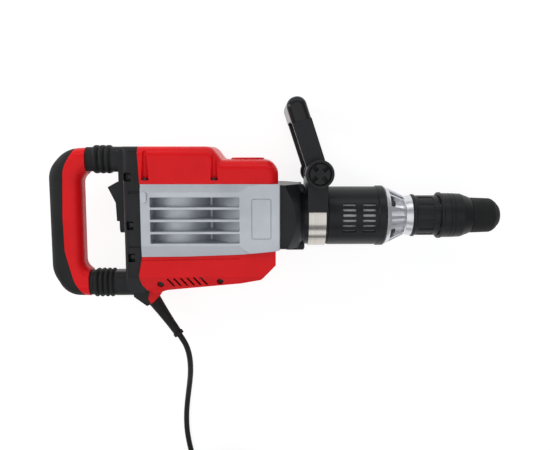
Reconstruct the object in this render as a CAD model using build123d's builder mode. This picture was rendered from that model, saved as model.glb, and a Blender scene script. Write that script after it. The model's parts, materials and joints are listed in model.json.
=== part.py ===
from build123d import *
import math
import os

# Electric demolition hammer, lying on its left side, in millimetres.
# +X runs along the tool's axis towards the chisel, +Y towards the tool's top, +Z up, which is
# the tool's right. The origin is the mouth of the chisel bore, on the tool's axis.

# Driving dimensions
HALF_WIDTH = 60.0
FLOOR_Z = -HALF_WIDTH
WALL = 3.0
RUNNING_GAP = 0.05
BODY_GAP = 0.3

HOUSING_REAR = -467.0
HOUSING_FRONT = -294.0
HOUSING_TOP = 45.0
HOUSING_BOTTOM = -46.0
MOTOR_X = -425.0
FIRST_MODULE = 1.5
FIRST_PINION_TEETH = 10
FIRST_GEAR_TEETH = 53
SECOND_MODULE = 1.7
SECOND_PINION_TEETH = 10
SECOND_GEAR_TEETH = 40
INTERMEDIATE_X = MOTOR_X + FIRST_MODULE * (FIRST_PINION_TEETH + FIRST_GEAR_TEETH) / 2
CRANK_X = INTERMEDIATE_X + SECOND_MODULE * (SECOND_PINION_TEETH + SECOND_GEAR_TEETH) / 2

CHISEL_R = 9.05
CHISEL_DEPTH = 90.0
NECK_R = 38.0
BARREL_R = 38.8

HANDLE_END_X = -546.0
HANDLE_HALF_WIDTH = 19.0
UPPER_ARM_Y = 75.0
LOWER_ARM_Y = -90.0
ARM_HALF_HEIGHT = 16.5

PIVOT_X = -245.5
PIVOT_Y = 57.7
ARM_TILT = 18.2

CORD_R = 3.9

# How a cylinder, cone or box stands on its place: above it along the axis, or under it
ABOVE = (Align.CENTER, Align.CENTER, Align.MIN)
UNDER = (Align.CENTER, Align.CENTER, Align.MAX)

os.makedirs("parts", exist_ok=True)


# Shared shapes. prism, turned and turned_upright add to the part that is being built.
def prism(points, low, high, mode=Mode.ADD, rounding=0.0):
    """An outline in X and Y, its corners rounded, extruded from z = low to z = high."""
    with BuildSketch(Plane.XY.offset(low)) as side:
        Polygon(*points)
        if rounding:
            fillet(side.vertices(), rounding)
    extrude(side.sketch, amount=high - low, mode=mode)


def bar(points, low, high, mode=Mode.ADD, rounding=0.0):
    """An outline in Y and Z, its corners rounded, extruded from x = low to x = high."""
    with BuildSketch(Plane.YZ.offset(low)) as end:
        Polygon(*points)
        if rounding:
            fillet(end.vertices(), rounding)
    extrude(end.sketch, amount=high - low, mode=mode)


def turned(points, mode=Mode.ADD):
    """An outline of (x, radius) points, turned about the tool's axis."""
    with BuildSketch(Plane.XY) as half:
        Polygon(*points)
    revolve(half.sketch, axis=Axis.X, mode=mode)


def turned_upright(axis_x, points, mode=Mode.ADD):
    """An outline of (radius, y) points, turned about the line along Y through x = axis_x."""
    with BuildSketch(Plane.XY) as half:
        Polygon(*[(axis_x + radius, y) for radius, y in points])
    revolve(half.sketch, axis=Axis((axis_x, 0, 0), (0, 1, 0)), mode=mode)


def ring_points(inner, outer, low, high):
    return [(inner, low), (outer, low), (outer, high), (inner, high)]


def tube_points(rear, front, inner, outer):
    return [(rear, inner), (front, inner), (front, outer), (rear, outer)]


def upright(axis_x, y, z=0.0):
    """A plane across the line along Y through (axis_x, z)."""
    return Plane(origin=(axis_x, y, z), x_dir=(1, 0, 0), z_dir=(0, 1, 0))


def mirrored(points):
    """The (y, z) points of a half section, followed by their mirror images in z."""
    return points + [(y, -z) for y, z in reversed(points)]


# Rear handle. It slides 8 mm on two guide rods, inside rubber bellows.
HANDLE_OUTER = [(-520, 92.0), (-573, 88.5), (-595.8, 62), (-595.8, -74), (-577, -106.0), (-520, -107.5)]
HANDLE_INNER = [(-520, -73.5), (-553.2, -73), (-552.6, 58.5), (-520, 59.0)]
HANDLE_CORNERS = [(1, 40.0), (2, 34.0), (3, 38.0), (4, 30.0), (7, 15.0), (8, 15.0)]
PAD_THICKNESS = 3.0
PAD_EDGE = [
    (-700, -174), (-700, 185), (-510, 185), (-562, 85), (-574, 64), (-576.4, 0), (-575.6, -45), (-565, -86),
    (-509, -174),
]


def handle_face(inset):
    """The side outline of the D-shaped handle, moved inwards by inset."""
    corners = HANDLE_OUTER + HANDLE_INNER
    with BuildSketch() as shape:
        Polygon(*corners)
        for index, radius in HANDLE_CORNERS:
            target = Vector(*corners[index])
            fillet(shape.vertices().sort_by_distance(target)[0], radius)
        if inset:
            offset(amount=-inset, kind=Kind.INTERSECTION)
    return shape.sketch


def handle_solid(inset):
    """The handle as one solid with rounded sides, moved inwards by inset."""
    face = handle_face(inset)
    half = HANDLE_HALF_WIDTH - inset
    with BuildPart() as body:
        with BuildSketch(Plane.XY.offset(-half)):
            add(face)
        extrude(amount=2 * half)
        sides = body.faces().filter_by(Axis.Z).edges()
        ends = body.faces().sort_by(Axis.X)[-2:].edges()
        fillet([edge for edge in sides if edge not in ends], 14.0 - inset)
        split(bisect_by=Plane.YZ.offset(HANDLE_END_X - inset), keep=Keep.BOTTOM)
    return body.part


handle_outer = handle_solid(0.0)
handle_core = handle_solid(PAD_THICKNESS)
handle_void = handle_solid(PAD_THICKNESS + WALL)

with BuildPart() as handle_grip_pad:
    add(handle_outer)
    prism(PAD_EDGE, -30, 30, Mode.INTERSECT, 36)
    add(handle_core, mode=Mode.SUBTRACT)
handle_grip_pad.part.label = "handle_grip_pad"
export_step(handle_grip_pad.part, "parts/handle_grip_pad.step")

HANDLE_SCREWS = [(-560, UPPER_ARM_Y + 1), (-568, 40), (-568, -55), (-557, LOWER_ARM_Y)]
SCREW_HEAD_R = 3.5
SCREW_SHANK_R = 2.0
SCREW_BOSS_R = 4.6
HANDLE_HEAD_Z = -11.0
ROD_R = 5.0
ROD_REAR = -551.5
ROD_FRONT = -490.0

with BuildPart() as handle_body:
    add(handle_outer)
    add(handle_void, mode=Mode.SUBTRACT)
    for x, y in HANDLE_SCREWS:
        with Locations((x, y, -HANDLE_HALF_WIDTH + 4)):
            Cylinder(SCREW_BOSS_R, 2 * HANDLE_HALF_WIDTH - 8, align=ABOVE)
    for y in (UPPER_ARM_Y, LOWER_ARM_Y):
        with Locations(Plane.YZ.offset(ROD_REAR - 1) * Pos(y, 0)):
            Cylinder(ROD_R + 3, HANDLE_END_X - ROD_REAR, align=ABOVE)
    for x, y in HANDLE_SCREWS:
        with Locations((x, y, HANDLE_HALF_WIDTH - 8)):
            Cylinder(SCREW_SHANK_R, 40, align=UNDER, mode=Mode.SUBTRACT)
        with Locations((x, y, HANDLE_HEAD_Z)):
            Cylinder(SCREW_HEAD_R, 20, align=UNDER, mode=Mode.SUBTRACT)
    for y in (UPPER_ARM_Y, LOWER_ARM_Y):
        with Locations(Plane.YZ.offset(ROD_REAR) * Pos(y, 0)):
            Cylinder(ROD_R, 40, align=ABOVE, mode=Mode.SUBTRACT)
    add(handle_outer, mode=Mode.INTERSECT)
    add(handle_grip_pad.part, mode=Mode.SUBTRACT)

with BuildPart() as handle_shell_right:
    add(handle_body.part)
    split(bisect_by=Plane.XY, keep=Keep.TOP)
handle_shell_right.part.label = "handle_shell_right"
export_step(handle_shell_right.part, "parts/handle_shell_right.step")

with BuildPart() as handle_shell_left:
    add(handle_body.part)
    split(bisect_by=Plane.XY, keep=Keep.BOTTOM)
handle_shell_left.part.label = "handle_shell_left"
export_step(handle_shell_left.part, "parts/handle_shell_left.step")


def screw(head_r, head_height, shank_r, shank_length, socket_r):
    """A pan-head screw along -Z from its head's underside at the origin, with a six-sided socket."""
    with BuildPart() as part:
        Cylinder(head_r, head_height, align=ABOVE)
        fillet(part.faces().sort_by(Axis.Z)[-1].edges(), head_height * 0.3)
        Cylinder(shank_r, shank_length, align=UNDER)
        with BuildSketch(Plane.XY.offset(head_height)):
            RegularPolygon(socket_r, 6)
        extrude(amount=-head_height * 0.6, mode=Mode.SUBTRACT)
    return part.part


case_screw = screw(SCREW_HEAD_R - 0.1, 2.6, SCREW_SHANK_R - 0.05, 14.0, 1.9)

with BuildPart() as handle_screws:
    for x, y in HANDLE_SCREWS:
        add(Pos(x, y, HANDLE_HEAD_Z) * Rot(180, 0, 0) * case_screw)
handle_screws.part.label = "handle_screws"
export_step(handle_screws.part, "parts/handle_screws.step")

with BuildPart() as guide_rods:
    for y in (UPPER_ARM_Y, LOWER_ARM_Y):
        with Locations(Plane.YZ.offset(ROD_REAR) * Pos(y, 0)):
            Cylinder(ROD_R, ROD_FRONT - ROD_REAR, align=ABOVE)
guide_rods.part.label = "guide_rods"
export_step(guide_rods.part, "parts/guide_rods.step")

NECK_END_X = -512.0
SPRING_R = 9.0
SPRING_WIRE_R = 1.1


def coil_spring(rear, front, radius, wire_r, turns):
    """A compression spring along X, as one wire."""
    pitch = (front - rear - 2 * wire_r) / turns
    helix = Helix(pitch, pitch * turns, radius)
    with BuildPart() as part:
        with BuildSketch(Plane(origin=helix @ 0, z_dir=helix % 0)):
            Circle(wire_r)
        sweep(path=helix, is_frenet=True)
    return Plane.YZ.offset(rear + wire_r) * part.part


with BuildPart() as damper_springs:
    damper_spring = coil_spring(HANDLE_END_X, NECK_END_X, SPRING_R, SPRING_WIRE_R, 6)
    for y in (UPPER_ARM_Y, LOWER_ARM_Y):
        add(Pos(0, y, 0) * damper_spring)
damper_springs.part.label = "damper_springs"
export_step(damper_springs.part, "parts/damper_springs.step")

BELLOWS_FOLDS = 3
BELLOWS_HALF = (15.4, 16.4)
BELLOWS_WALL = 3.4
BELLOWS_RISE = 3.2


def bellows_ring(half_y, half_z, low, high, y):
    """One rounded-rectangular stretch of a bellows' wall."""
    inner_y, inner_z = [half - BELLOWS_WALL for half in BELLOWS_HALF]
    with BuildPart() as part:
        with BuildSketch(Plane.YZ.offset(low)):
            with Locations((y, 0)):
                RectangleRounded(2 * half_y, 2 * half_z, 11)
                RectangleRounded(2 * inner_y, 2 * inner_z, 9, mode=Mode.SUBTRACT)
        extrude(amount=high - low)
    return part.part


with BuildPart() as handle_bellows:
    length = NECK_END_X - HANDLE_END_X
    fold = length / (BELLOWS_FOLDS * 2 + 1)
    half_y, half_z = BELLOWS_HALF
    for y in (UPPER_ARM_Y, LOWER_ARM_Y):
        for index in range(BELLOWS_FOLDS * 2 + 1):
            rise = BELLOWS_RISE if index % 2 else 0.0
            low = HANDLE_END_X + index * fold
            add(bellows_ring(half_y + rise, half_z + rise, low, low + fold, y))
handle_bellows.part.label = "handle_bellows"
export_step(handle_bellows.part, "parts/handle_bellows.step")


# Rear housing: two black shells that hold the trigger, the switch and the cord's strain relief.
# Each is half of a wide column, a narrower block round the trigger, two necks and a cord base.
REAR_HALF_WIDTH = 50.0
COLUMN_REAR = -491.0
SEAM = [(-470.5, 91.5), (-468, 45), (-467, -46), (-471.5, -70.5), (-469.5, -83.5), (-464, -92)]
LOWER_SEAM = [(-464, -92), (-466, -98), (-468.5, -110), (-465, -117.5)]
COLUMN_OUTLINE = SEAM + [(-470, -96.5), (-484, -96.5), (COLUMN_REAR, -90), (COLUMN_REAR, 91.5)]
COLUMN_SECTION = [(-120, 38), (-97, 38), (-74, REAR_HALF_WIDTH), (91.5, REAR_HALF_WIDTH)]
COLUMN_INSIDE = [
    (-474.5, 88), (-474.5, -93), (-485, -93), (COLUMN_REAR + WALL, -88), (COLUMN_REAR + WALL, 88),
]
BASE_OUTLINE = LOWER_SEAM + [(-470.5, -120), (-487.5, -107.5), (-489, -90), (-470, -90)]
BASE_HALF_WIDTH = 15.0
BLOCK_REAR = -503.0
BLOCK_FRONT = -485.0
BLOCK_LOW = -21.5
BLOCK_HIGH = 91.5
BLOCK_HALF_WIDTH = 17.0
NECK_HALF = (16.5, 17.0)
REAR_SCREWS = [(-484.5, 53.5), (-482.5, -7.5), (-481.5, -48.5)]
REAR_HEAD_Z = 40.0
TRIGGER_WINDOW = (-8.0, 49.0, 12.0)
TRIGGER_PIN = (-497.0, -3.0)
TRIGGER_PIN_R = 1.55
TRIGGER_HALF_WIDTH = 11.0
SEAM_GROOVES = [(32.5, 35.8, -483), (-35.5, -33.6, -484)]

BOOT_START = Vector(-467, -109, 0)
BOOT_END = Vector(-430.3, -163.6, 0)
BOOT_FLANGE_R = 11.3
BOOT_BASE_R = 9.6
boot_direction = (BOOT_END - BOOT_START).normalized()
boot_length = (BOOT_END - BOOT_START).length
boot_plane = Plane(origin=BOOT_START, x_dir=boot_direction, z_dir=(0, 0, 1))
BOOT_OUTLINE = [
    (-9, 0), (-9, BOOT_FLANGE_R), (-5, BOOT_FLANGE_R), (-5, BOOT_BASE_R), (3, BOOT_BASE_R),
    (26, 7.4), (45, 6.1), (61.5, 5.6), (61.5, 6.9), (boot_length, 6.9), (boot_length, 0),
]
BOOT_HOLE_OUTLINE = [
    (-9, 0), (-9, BOOT_FLANGE_R), (-5, BOOT_FLANGE_R), (-5, BOOT_BASE_R), (30, BOOT_BASE_R), (30, 0),
]


def along_boot(points):
    """An outline of (distance, radius) points turned about the cord boot's axis."""
    with BuildPart() as part:
        turned(points)
    return boot_plane * part.part


def side_cut(points, side, depth, reach, rounding=0.0):
    """Takes an outline away from the side's outer face inwards, between two distances from z = 0."""
    prism(points, min(side * depth, side * reach), max(side * depth, side * reach), Mode.SUBTRACT, rounding)


def trigger_block(inset):
    """The narrow block round the trigger, moved inwards by inset."""
    height = BLOCK_HIGH - BLOCK_LOW - 2 * inset
    width = 2 * (BLOCK_HALF_WIDTH - inset)
    with BuildPart() as part:
        with BuildSketch(Plane.YZ.offset(BLOCK_REAR + inset)):
            with Locations(((BLOCK_LOW + BLOCK_HIGH) / 2, 0)):
                RectangleRounded(height, width, 8 - inset)
        extrude(amount=BLOCK_FRONT - BLOCK_REAR - inset)
    return part.part


boot_hole = along_boot(BOOT_HOLE_OUTLINE)

with BuildPart() as column_inside:
    prism(COLUMN_INSIDE, -REAR_HALF_WIDTH + WALL, REAR_HALF_WIDTH - WALL)
    bar(mirrored([(y, z - WALL) for y, z in COLUMN_SECTION]), -520, -440, Mode.INTERSECT)

with BuildPart() as rear_body:
    prism(COLUMN_OUTLINE, -REAR_HALF_WIDTH, REAR_HALF_WIDTH)
    with BuildSketch(upright(0, -140)):
        with Locations((COLUMN_REAR + 50, 0)):
            RectangleRounded(100, 2 * REAR_HALF_WIDTH, 9)
    extrude(amount=280, mode=Mode.INTERSECT)
    bar(mirrored(COLUMN_SECTION), -520, -440, Mode.INTERSECT, 8)
    add(trigger_block(0.0))
    prism(BASE_OUTLINE, -BASE_HALF_WIDTH, BASE_HALF_WIDTH)
    for y in (UPPER_ARM_Y, LOWER_ARM_Y):
        half_y, half_z = NECK_HALF
        with BuildSketch(Plane.YZ.offset(NECK_END_X)):
            with Locations((y, 0)):
                RectangleRounded(2 * half_y, 2 * half_z, 10)
        extrude(amount=BLOCK_FRONT - NECK_END_X - 1)
    add(column_inside.part, mode=Mode.SUBTRACT)
    add(trigger_block(WALL), mode=Mode.SUBTRACT)
    for x, y in REAR_SCREWS:
        for side in (1, -1):
            with Locations((x, y, side * 33.5)):
                Cylinder(6.2, 31)
    for y in (UPPER_ARM_Y, LOWER_ARM_Y):
        with Locations(Plane.YZ.offset(NECK_END_X) * Pos(y, 0)):
            Cylinder(ROD_R + 3.5, 30, align=ABOVE)
            Cylinder(ROD_R + RUNNING_GAP, 36, align=ABOVE, mode=Mode.SUBTRACT)
    low, high, half = TRIGGER_WINDOW
    prism([(-510, low), (-494, low), (-494, high), (-510, high)], -half, half, Mode.SUBTRACT)
    for side in (1, -1):
        with Locations((-498, TRIGGER_PIN[1], side * (TRIGGER_HALF_WIDTH + 3.5))):
            Box(9, 9, 5)
    with Locations((*TRIGGER_PIN, 0)):
        Cylinder(TRIGGER_PIN_R + RUNNING_GAP, 2 * TRIGGER_HALF_WIDTH + 9, mode=Mode.SUBTRACT)
    add(boot_hole, mode=Mode.SUBTRACT)
    for x, y in REAR_SCREWS:
        pocket = [(x - 4.3, y - 5.5), (x + 4.3, y - 5.5), (x + 4.3, y + 5.5), (x - 4.3, y + 5.5)]
        for side in (1, -1):
            side_cut(pocket, side, REAR_HEAD_Z, 60, 1.2)
        with Locations((x, y, 0)):
            Cylinder(SCREW_SHANK_R, 2 * REAR_HALF_WIDTH, mode=Mode.SUBTRACT)
    for low, high, rear in SEAM_GROOVES:
        for side in (1, -1):
            side_cut([(rear, low), (-466, low), (-466, high), (rear, high)], side, 48.6, 60)

with BuildPart() as rear_housing_right:
    add(rear_body.part)
    split(bisect_by=Plane.XY, keep=Keep.TOP)
rear_housing_right.part.label = "rear_housing_right"
export_step(rear_housing_right.part, "parts/rear_housing_right.step")

with BuildPart() as rear_housing_left:
    add(rear_body.part)
    split(bisect_by=Plane.XY, keep=Keep.BOTTOM)
rear_housing_left.part.label = "rear_housing_left"
export_step(rear_housing_left.part, "parts/rear_housing_left.step")

# Trigger, its hinge pin and the switch behind it
TRIGGER_OUTLINE = [
    (-499, 46.5), (-506, 45.8), (-519, 38.7), (-509, 18), (-508, -6.2), (-493, -6.2), (-493, 30),
]

with BuildPart() as trigger:
    prism(TRIGGER_OUTLINE, -TRIGGER_HALF_WIDTH, TRIGGER_HALF_WIDTH, rounding=0.8)
    trigger_rims = trigger.faces().filter_by(Axis.Z).edges()
    fillet(trigger_rims, 0.7)
    with Locations((*TRIGGER_PIN, 0)):
        Cylinder(TRIGGER_PIN_R + RUNNING_GAP, 60, mode=Mode.SUBTRACT)
trigger.part.label = "trigger"
export_step(trigger.part, "parts/trigger.step")

with BuildPart() as trigger_pin:
    with Locations((*TRIGGER_PIN, 0)):
        Cylinder(TRIGGER_PIN_R, 2 * TRIGGER_HALF_WIDTH + 7)
trigger_pin.part.label = "trigger_pin"
export_step(trigger_pin.part, "parts/trigger_pin.step")

with BuildPart() as switch_module:
    with Locations((-479.2, 22, 0)):
        Box(7.6, 42, 24)
    with Locations((-484.5, 30, 0)):
        Box(3, 8, 8)
    with Locations((-479.8, -70, 0)):
        Box(9, 16, 50)
    for z in (-8, 8):
        with Locations((-477, -31, z)):
            Box(3, 66, 2.4)
switch_module.part.label = "switch_module"
export_step(switch_module.part, "parts/switch_module.step")

with BuildPart() as cord_boot:
    add(along_boot(BOOT_OUTLINE))
cord_boot.part.label = "cord_boot"
export_step(cord_boot.part, "parts/cord_boot.step")

# Top cover: a red shell with four screw channels and the round cap of the crank chamber
TOP_HALF_WIDTH = 57.0
TOP_SCREWS = [(-461, 1), (-461, -1), (-375.5, 1), (-375.5, -1)]
TOP_SCREW_Z = 54.6
TOP_SEAT_Y = 50.0
CAP_R = 22.0


def top_solid(inset):
    """The top cover as one solid with rounded upper rims, moved inwards by inset."""
    step_x = -379 - inset * 0.5
    outer = [(-468, 45), (-470.5, 91.5 - inset), (step_x, 91.5 - inset), (step_x + 12.5, 74.8 - inset)]
    front = HOUSING_FRONT - 2 - inset
    half = TOP_HALF_WIDTH - inset
    with BuildPart() as part:
        with BuildSketch(Plane.XY.offset(-half)) as side:
            Polygon(*outer, (front, 74.8 - inset), (front, 45))
            fillet(side.vertices().sort_by_distance((-379, 91.5))[0], 16 - inset)
            fillet(side.vertices().sort_by_distance((-366.5, 74.8))[0], 5)
            fillet(side.vertices().sort_by_distance((front, 74.8))[0], 18 - inset)
        extrude(amount=2 * half)
        rims = [edge for edge in part.faces().filter_by(Axis.Z).edges() if edge.center().Y > 50]
        rims = [edge for edge in rims if edge.center().X > -465]
        fillet(rims, 13.0 - inset)
    return part.part


top_outer = top_solid(0.0)
top_inner = top_solid(WALL)

with BuildPart() as top_cover:
    add(top_outer)
    add(top_inner, mode=Mode.SUBTRACT)
    for x, side in TOP_SCREWS:
        with Locations(upright(x, 45, side * TOP_SCREW_Z)):
            Cylinder(7.0, 42, align=ABOVE)
    add(top_outer, mode=Mode.INTERSECT)
    turned_upright(CRANK_X, [(0, 73), (CAP_R, 73), (CAP_R, 76), (CAP_R - 1.2, 77.2), (0, 77.2)])
    for x, side in TOP_SCREWS:
        with Locations(upright(x, TOP_SEAT_Y, side * (TOP_SCREW_Z + 0.9))):
            Cone(4.8, 2.3, 36, align=ABOVE, mode=Mode.SUBTRACT)
        with Locations(upright(x, 40, side * TOP_SCREW_Z)):
            Cylinder(SCREW_SHANK_R, 20, align=ABOVE, mode=Mode.SUBTRACT)
top_cover.part.label = "top_cover"
export_step(top_cover.part, "parts/top_cover.step")

# Bottom cover: a red shell with sloping lower sides, air slots, screw holes and a pointed tab
BOTTOM_HALF_WIDTH = 56.0
BOTTOM_OUTLINE = [
    (-467, -46), (-413, -45.6), (-345, -43.4), (-299.3, -39), (-299.3, -57.5), (-305.5, -64),
    (-318, -76.8), (-343.5, -82), (-438.5, -91.8), (-452, -96), (-464, -92), (-469.5, -83.5), (-471.5, -70.5),
]
BOTTOM_SECTION = [(-30, 56), (-73, 56), (-91, 43), (-130, 43)]
TAB_OUTLINE = LOWER_SEAM + [(-461, -114), (-452, -104.5), (-445, -91)]
BOTTOM_SCREWS = [(-446, -83), (-370, -79)]
BOTTOM_SLOTS = 6
SLOT_PITCH = 8.4


def bottom_solid(inset):
    """The bottom cover as one solid, its side section moved inwards by inset."""
    with BuildPart() as part:
        prism(BOTTOM_OUTLINE, -BOTTOM_HALF_WIDTH, BOTTOM_HALF_WIDTH)
        section = [(y, z - inset) for y, z in BOTTOM_SECTION]
        bar(mirrored(section), -480, -290, Mode.INTERSECT, 2.5)
    return part.part


with BuildPart() as bottom_inside:
    add(bottom_solid(WALL))
    with BuildSketch(Plane.XY.offset(-60)) as cavity_side:
        Polygon((-480, -30), (-290, -30), (-290, -100), (-300, -115), (-480, -115))
        Polygon(*BOTTOM_OUTLINE, mode=Mode.INTERSECT)
        offset(amount=-WALL, kind=Kind.INTERSECTION)
        Polygon((-480, -52), (-302.3, -52), (-302.3, -30), (-480, -30))
        Polygon((-480, -80), (-455, -80), (-455, -30), (-480, -30))
    extrude(amount=120, mode=Mode.INTERSECT)

with BuildPart() as bottom_cover:
    add(bottom_solid(0.0))
    add(bottom_inside.part, mode=Mode.SUBTRACT)
    for side in (1, -1):
        side_cut([(-473, -51.6), (-345, -49.4), (-345, -48.2), (-473, -50.4)], side, 55.2, 60)
        for index in range(BOTTOM_SLOTS):
            x = -438.0 + index * SLOT_PITCH
            y = -74.5 + index * 0.5
            side_cut([(x, y), (x + 3, y), (x + 11, y - 11.5), (x + 8, y - 11.5)], side, 30, 60)
        for x, y in BOTTOM_SCREWS:
            with Locations((x, y, side * 44)):
                Cylinder(6.8, 14)
    add(bottom_solid(0.0), mode=Mode.INTERSECT)
    prism(TAB_OUTLINE, -BASE_HALF_WIDTH, BASE_HALF_WIDTH)
    add(boot_hole, mode=Mode.SUBTRACT)
    for side in (1, -1):
        for x, y in BOTTOM_SCREWS:
            with Locations((x, y, side * 53)):
                Cylinder(4.3, 22, mode=Mode.SUBTRACT)
            with Locations((x, y, side * 44)):
                Cylinder(SCREW_SHANK_R, 30, mode=Mode.SUBTRACT)
bottom_cover.part.label = "bottom_cover"
export_step(bottom_cover.part, "parts/bottom_cover.step")

# Main housing: a metal casting around the motor and the crank chamber, with slots in its sides
SLOT_ROWS = [(28.8, 16.3), (13.5, 1.1), (-1.8, -14.2), (-17.0, -29.0)]
SLOT_REAR = -455.3
SLOT_FRONT = -344.4
MOTOR_CAVITY_R = 40.5
MOTOR_WALL_R = 46.0
CRANK_CAVITY_R = 42.0
CRANK_WALL_R = 50.0
PLATE_LOW = 31.0
PLATE_HIGH = 41.0
CYLINDER_R = 25.0
CUP_OUTLINE = [
    (MOTOR_CAVITY_R, -40), (43.5, -40), (43.5, -70), (37, -73), (37, -77), (20, -85), (5, -85), (5, -82.6),
    (11.05, -82.6), (11.05, -75.2), (14, -75.2), (14, -82), (19.5, -82), (34, -75.2), (34, -71.5),
    (MOTOR_CAVITY_R, -68.5),
]


def side_band(edge_y, crease_y, side):
    """The wedge that the sloping band along a housing edge takes away, running out at the front."""
    face_z = side * HALF_WIDTH
    low_z = side * (HALF_WIDTH - 2.6)
    far_y = edge_y + (edge_y - crease_y)
    far_z = side * (HALF_WIDTH - 5.2)
    end_y = edge_y + (edge_y - crease_y) * 0.02
    with BuildPart() as part:
        with BuildSketch(Plane.YZ.offset(-345)) as full:
            Polygon((crease_y, face_z), (far_y, face_z + side * 2), (far_y, far_z), (edge_y, low_z))
        extrude(full.sketch, amount=-130)
        with BuildSketch(Plane.YZ.offset(-316)) as front:
            Polygon(
                (edge_y, face_z), (far_y, face_z + side * 2),
                (far_y, face_z - side * 0.1), (end_y, face_z - side * 0.05),
            )
        loft([full.sketch, front.sketch])
    return part.part


bands = [side_band(y, crease, side) for y, crease in ((45.0, 35.0), (-46.0, -32.0)) for side in (1, -1)]

with BuildPart() as louvre_cuts:
    for side in (1, -1):
        for high, low in SLOT_ROWS:
            slot = [(SLOT_REAR, low), (SLOT_FRONT, low), (SLOT_FRONT, high), (SLOT_REAR, high)]
            low_z, high_z = sorted((side * 20, side * 64))
            prism(slot, low_z, high_z, rounding=1.2)
    turned_upright(MOTOR_X, ring_points(0, MOTOR_WALL_R, -50, 50), Mode.SUBTRACT)
    turned_upright(CRANK_X, ring_points(0, CRANK_WALL_R, -50, 50), Mode.SUBTRACT)

with BuildPart() as main_housing:
    prism(
        [(HOUSING_REAR, -46), (-413, -45.6), (-345, -43.4), (-299.3, -39), (HOUSING_FRONT, -37.5)]
        + [(HOUSING_FRONT, HOUSING_TOP), (HOUSING_REAR, HOUSING_TOP)],
        -HALF_WIDTH,
        HALF_WIDTH,
    )
    for band in bands:
        add(band, mode=Mode.SUBTRACT)
    corner_edges = main_housing.edges().filter_by(Axis.Y)
    fillet(corner_edges.filter_by_position(Axis.X, HOUSING_FRONT, HOUSING_FRONT), 1.5)
    add(louvre_cuts.part, mode=Mode.SUBTRACT)
    turned_upright(CRANK_X, ring_points(0, CRANK_CAVITY_R, -36, PLATE_LOW), Mode.SUBTRACT)
    prism([(-300, -36), (-292, -36), (-292, PLATE_LOW), (-300, PLATE_LOW)], -50, 50)
    prism([(-463, PLATE_LOW), (-299, PLATE_LOW), (-299, 50), (-463, 50)], -54, 54, Mode.SUBTRACT)
    bar([(-100, -70), (60, -70), (60, 70), (-100, 70)], HOUSING_FRONT, -270, Mode.SUBTRACT)
    turned_upright(MOTOR_X, CUP_OUTLINE)
    turned_upright(MOTOR_X, ring_points(0, MOTOR_CAVITY_R, -68.5, PLATE_LOW), Mode.SUBTRACT)
    turned(tube_points(-302, -290, 0, CYLINDER_R + RUNNING_GAP), Mode.SUBTRACT)
    bar([(-100, -61), (46, -61), (46, 62), (-100, 62)], HOUSING_REAR, HOUSING_FRONT, Mode.INTERSECT)
    for side in (1, -1):
        with BuildSketch(Plane.XY.offset(side * HALF_WIDTH)) as panel:
            with Locations((-317.2, 1.5)):
                RectangleRounded(25, 51, 3)
                RectangleRounded(22.6, 48.6, 2, mode=Mode.SUBTRACT)
        extrude(panel.sketch, amount=-side * 0.8, mode=Mode.SUBTRACT)
    for z in (-42.0, 42.0):
        with Locations((MOTOR_X, -66, z)):
            Box(9.2, 15.2, 24, mode=Mode.SUBTRACT)
    for x, side in TOP_SCREWS:
        with Locations(upright(x, 30, side * TOP_SCREW_Z)):
            Cylinder(SCREW_SHANK_R, 20, align=ABOVE, mode=Mode.SUBTRACT)
    for x, y in BOTTOM_SCREWS:
        with Locations((x, y, 0)):
            Cylinder(SCREW_SHANK_R, 100, mode=Mode.SUBTRACT)
    with BuildSketch(Plane.XY.offset(HALF_WIDTH - 1)) as lug:
        with Locations((-462.6, 29)):
            SlotOverall(14, 7.2, rotation=90)
    extrude(lug.sketch, amount=4.4)
main_housing.part.label = "main_housing"
export_step(main_housing.part, "parts/main_housing.step")

# Screws that hold the casing, all of one kind
with BuildPart() as housing_screws:
    for x, y in REAR_SCREWS:
        add(Pos(x, y, REAR_HEAD_Z) * case_screw)
        add(Pos(x, y, -REAR_HEAD_Z) * Rot(180, 0, 0) * case_screw)
    for x, side in TOP_SCREWS:
        add(Pos(x, TOP_SEAT_Y, side * TOP_SCREW_Z) * Rot(-90, 0, 0) * case_screw)
    for x, y in BOTTOM_SCREWS:
        add(Pos(x, y, 42) * case_screw)
        add(Pos(x, y, -42) * Rot(180, 0, 0) * case_screw)
housing_screws.part.label = "housing_screws"
export_step(housing_screws.part, "parts/housing_screws.step")

# Gear train: armature pinion, intermediate gear and crank gear, all turning about lines along Y
PRESSURE_ANGLE = math.radians(25)
BACKLASH = 0.16


def involute(angle):
    return math.tan(angle) - angle


def gear_points(module, teeth, first_tooth):
    """The outline of a spur gear about the origin, its first tooth centred at first_tooth degrees."""
    pitch_r = module * teeth / 2
    base_r = pitch_r * math.cos(PRESSURE_ANGLE)
    tip_r = pitch_r + 0.8 * module
    root_r = pitch_r - 1.05 * module
    half_at_pitch = math.pi / (2 * teeth) - BACKLASH / (2 * pitch_r)
    flank_radii = [max(base_r, root_r) + (tip_r - max(base_r, root_r)) * step / 3 for step in range(4)]
    flank = [(root_r, half_at_pitch + involute(PRESSURE_ANGLE))] if base_r > root_r else []
    for radius in flank_radii:
        local = math.acos(min(1.0, base_r / radius))
        flank.append((radius, half_at_pitch + involute(PRESSURE_ANGLE) - involute(local)))
    points = []
    for tooth in range(teeth):
        centre = math.radians(first_tooth) + 2 * math.pi * tooth / teeth
        for radius, half in flank:
            points.append((radius * math.cos(centre - half), radius * math.sin(centre - half)))
        for radius, half in reversed(flank):
            points.append((radius * math.cos(centre + half), radius * math.sin(centre + half)))
    return points


def gear(axis_x, module, teeth, first_tooth, low, high):
    """A spur gear's toothed disc from y = low to y = high."""
    with BuildPart() as part:
        with BuildSketch(upright(axis_x, low)) as face:
            Polygon(*gear_points(module, teeth, first_tooth))
        extrude(face.sketch, amount=high - low)
    return part.part


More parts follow.
